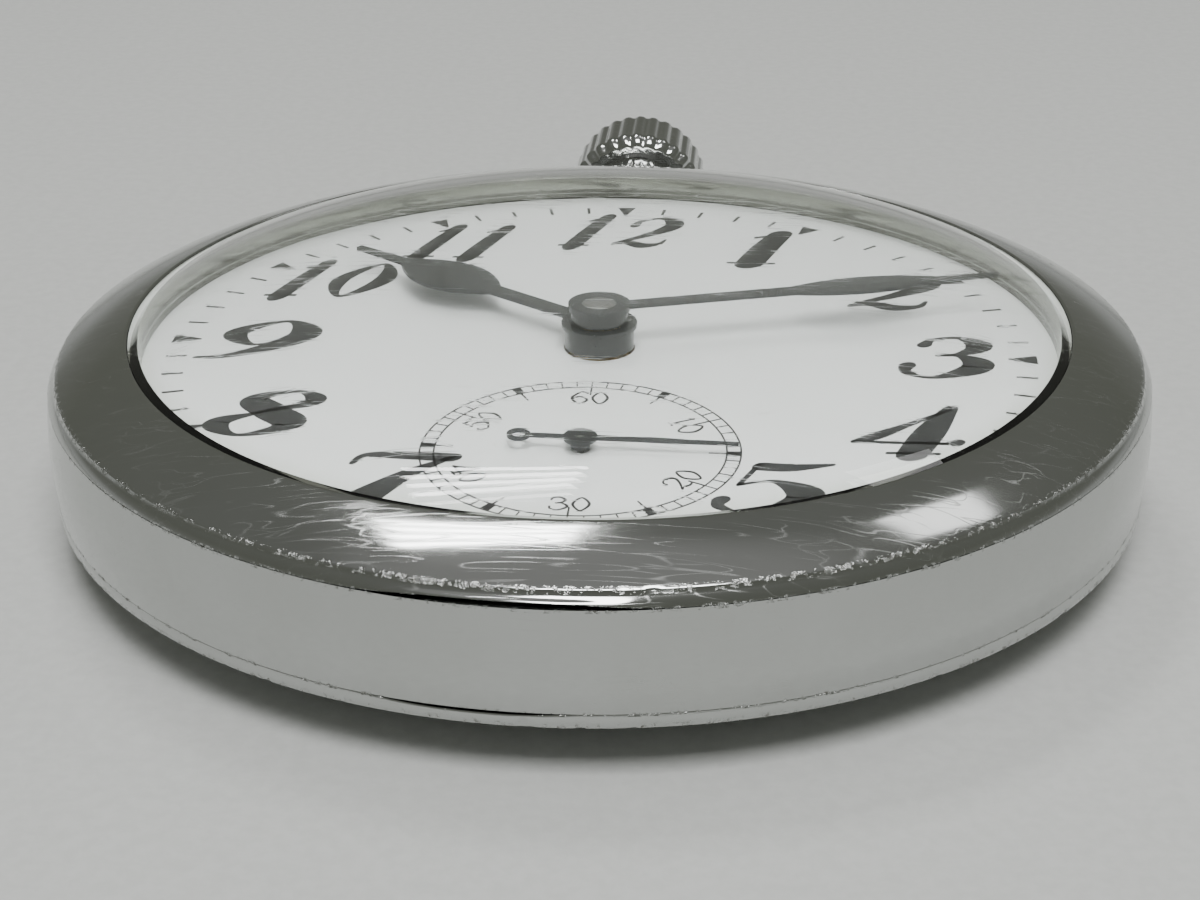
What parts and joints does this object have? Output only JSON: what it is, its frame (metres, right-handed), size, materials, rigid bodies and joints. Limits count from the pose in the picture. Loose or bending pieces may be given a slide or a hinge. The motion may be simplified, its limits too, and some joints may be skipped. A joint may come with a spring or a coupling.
{
  "type": "open face pocket watch",
  "caption": "Open-face stem-wound pocket watch with a snap bezel and back, domed acrylic crystal, fluted crown, swinging bow and a full lever movement with seconds at 6.",
  "frame": {"origin": "centre of the flat on the case back that the watch lies on", "axes": "+Z out of the dial, +Y towards the crown at 12 o'clock, +X towards 3 o'clock"},
  "size_m": [0.0502, 0.0656, 0.011],
  "materials": {
    "case_chrome": "polished chromium plate, worn along its edges",
    "crystal_acrylic": "clear acrylic with fine scratches and a slightly yellowed edge",
    "dial_white": "glossy cool white enamel with black printing",
    "hand_black": "gloss black",
    "steel": "polished and fine brushed steel",
    "plate_nickel": "nickel-plated brass with striping",
    "brass": "gilt brass",
    "ruby": "polished synthetic ruby",
    "spring_blue": "blued spring steel"
  },
  "bodies": {
    "case": {"case_middle": "case_chrome", "pendant": "case_chrome", "pendant_sleeve": "steel", "bow_screws": "case_chrome", "case_screws": "steel", "dial": "dial_white", "dial_screws": "steel", "main_plate": "plate_nickel", "barrel_bridge": "plate_nickel", "train_bridge": "plate_nickel", "balance_cock": "plate_nickel", "pallet_bridge": "plate_nickel", "movement_screws": "steel", "plate_jewels": "ruby", "bridge_jewels": "ruby", "click_spring": "steel", "hairspring": "spring_blue", "hairspring_stud": "steel"},
    "bow": {"bow": "case_chrome"},
    "front": {"bezel": "case_chrome", "crystal": "crystal_acrylic"},
    "back": {"case_back": "case_chrome"},
    "winding": {"winding_pinion": "steel"},
    "crown": {"crown": "case_chrome", "winding_stem": "steel"},
    "clutch": {"clutch_wheel": "steel"},
    "crown_wheel": {"crown_wheel": "steel"},
    "ratchet": {"ratchet_wheel": "steel", "ratchet_screw": "steel", "barrel_arbor": "steel"},
    "click": {"click": "steel"},
    "setting_lever": {"setting_lever": "steel"},
    "yoke": {"yoke": "steel"},
    "hack_lever": {"hack_lever": "steel"},
    "barrel": {"mainspring_barrel": "brass", "barrel_cover": "brass", "mainspring": "spring_blue"},
    "centre": {"centre_wheel": "brass", "centre_arbor": "steel", "cannon_pinion": "steel", "minute_hand": "hand_black"},
    "third": {"third_wheel": "brass", "third_arbor": "steel"},
    "fourth": {"fourth_wheel": "brass", "fourth_arbor": "steel", "seconds_hand": "hand_black"},
    "escape": {"escape_wheel": "steel", "escape_arbor": "steel"},
    "pallets": {"pallet_fork": "steel", "pallet_stones": "ruby", "pallet_staff": "steel"},
    "balance": {"balance_wheel": "brass", "balance_staff": "steel", "roller": "brass"},
    "hour": {"hour_wheel": "brass", "dial_washer": "brass", "hour_hand": "hand_black"},
    "minute_wheel": {"minute_wheel": "steel"},
    "setting_wheel": {"setting_wheel": "steel"},
    "regulator": {"regulator": "steel"}
  },
  "joints": [
    {"name": "bow_swing", "type": "hinge", "parent": "case", "child": "bow", "pos_m": [0, 0.02695, 0.0048], "axis": [1, 0, 0], "range_deg": [-105, 135]},
    {"name": "bezel_lift", "type": "slide", "parent": "case", "child": "front", "axis": [0, 0, 1], "range_m": [0, 0.012]},
    {"name": "back_lift", "type": "slide", "parent": "case", "child": "back", "axis": [0, 0, -1], "range_m": [0, 0.008]},
    {"name": "crown_turn", "type": "hinge", "parent": "case", "child": "winding", "pos_m": [0, 0.01627, 0.0048], "axis": [0, 1, 0], "continuous": true},
    {"name": "crown_pull", "type": "slide", "parent": "winding", "child": "crown", "axis": [0, 1, 0], "range_m": [0, 0.00085]},
    {"name": "clutch_shift", "type": "slide", "parent": "winding", "child": "clutch", "axis": [0, -1, 0], "range_m": [0, 0.00085]},
    {"name": "crown_wheel_turn", "type": "hinge", "parent": "case", "child": "crown_wheel", "pos_m": [0, 0.01327, 0.002], "axis": [0, 0, 1], "continuous": true},
    {"name": "ratchet_turn", "type": "hinge", "parent": "case", "child": "ratchet", "pos_m": [0.00849, 0.00551, 0.002], "axis": [0, 0, 1], "continuous": true},
    {"name": "click_lift", "type": "hinge", "parent": "case", "child": "click", "pos_m": [0.0082, 0.01386, 0.0017], "axis": [0, 0, 1], "range_deg": [0, 12]},
    {"name": "setting_lever_swing", "type": "hinge", "parent": "case", "child": "setting_lever", "pos_m": [-0.0029, 0.01832, 0.006], "axis": [0, 0, 1], "range_deg": [0, 16.79]},
    {"name": "yoke_swing", "type": "hinge", "parent": "case", "child": "yoke", "pos_m": [0.0052, 0.0139, 0.006], "axis": [0, 0, 1], "range_deg": [0, 12.49]},
    {"name": "hack_swing", "type": "hinge", "parent": "case", "child": "hack_lever", "pos_m": [-0.0125, 0.0042, 0.0031], "axis": [0, 0, 1], "range_deg": [0, 2.25]},
    {"name": "minute_turn", "type": "hinge", "parent": "case", "child": "centre", "pos_m": [0, 0, 0.005], "axis": [0, 0, -1], "continuous": true},
    {"name": "barrel_turn", "type": "hinge", "parent": "case", "child": "barrel", "pos_m": [0.00849, 0.00551, 0.0045], "axis": [0, 0, -1], "continuous": true},
    {"name": "third_turn", "type": "hinge", "parent": "case", "child": "third", "pos_m": [0.00383, -0.0061, 0.004], "axis": [0, 0, -1], "continuous": true},
    {"name": "seconds_turn", "type": "hinge", "parent": "case", "child": "fourth", "pos_m": [0, -0.01065, 0.004], "axis": [0, 0, -1], "continuous": true},
    {"name": "hour_turn", "type": "hinge", "parent": "case", "child": "hour", "pos_m": [0, 0, 0.006], "axis": [0, 0, -1], "continuous": true},
    {"name": "minute_wheel_turn", "type": "hinge", "parent": "case", "child": "minute_wheel", "pos_m": [0, 0.0036, 0.006], "axis": [0, 0, -1], "continuous": true},
    {"name": "setting_wheel_turn", "type": "hinge", "parent": "case", "child": "setting_wheel", "pos_m": [0, 0.0093, 0.006], "axis": [0, 0, -1], "continuous": true},
    {"name": "pallet_rock", "type": "hinge", "parent": "case", "child": "pallets", "pos_m": [-0.00753, -0.00822, 0.0036], "axis": [0, 0, -1], "range_deg": [0, 8]},
    {"name": "escape_step", "type": "hinge", "parent": "case", "child": "escape", "pos_m": [-0.00516, -0.01177, 0.0036], "axis": [0, 0, -1], "range_deg": [-12, 0]},
    {"name": "balance_swing", "type": "hinge", "parent": "case", "child": "balance", "pos_m": [-0.01021, -0.0042, 0.003], "axis": [0, 0, -1], "range_deg": [-120, 120]},
    {"name": "regulator_shift", "type": "hinge", "parent": "case", "child": "regulator", "pos_m": [-0.01021, -0.0042, 0.001], "axis": [0, 0, -1], "range_deg": [-15, 15]}
  ],
  "couplings": [
    {"joint": "clutch_shift", "follows": "crown_pull", "ratio": 1},
    {"joint": "setting_lever_swing", "follows": "crown_pull", "rad_per_m": 344.83},
    {"joint": "yoke_swing", "follows": "crown_pull", "rad_per_m": 256.41},
    {"joint": "hack_swing", "follows": "crown_pull", "rad_per_m": 46.207},
    {"joint": "crown_wheel_turn", "follows": "crown_turn", "ratio": 0.44444},
    {"joint": "ratchet_turn", "follows": "crown_turn", "ratio": -0.34188},
    {"joint": "barrel_turn", "follows": "minute_turn", "ratio": -0.15},
    {"joint": "third_turn", "follows": "minute_turn", "ratio": -8},
    {"joint": "seconds_turn", "follows": "minute_turn", "ratio": 60},
    {"joint": "hour_turn", "follows": "minute_turn", "ratio": 0.083333},
    {"joint": "minute_wheel_turn", "follows": "minute_turn", "ratio": -0.33333},
    {"joint": "setting_wheel_turn", "follows": "minute_turn", "ratio": 0.3},
    {"joint": "escape_step", "follows": "pallet_rock", "ratio": -1.5}
  ]
}
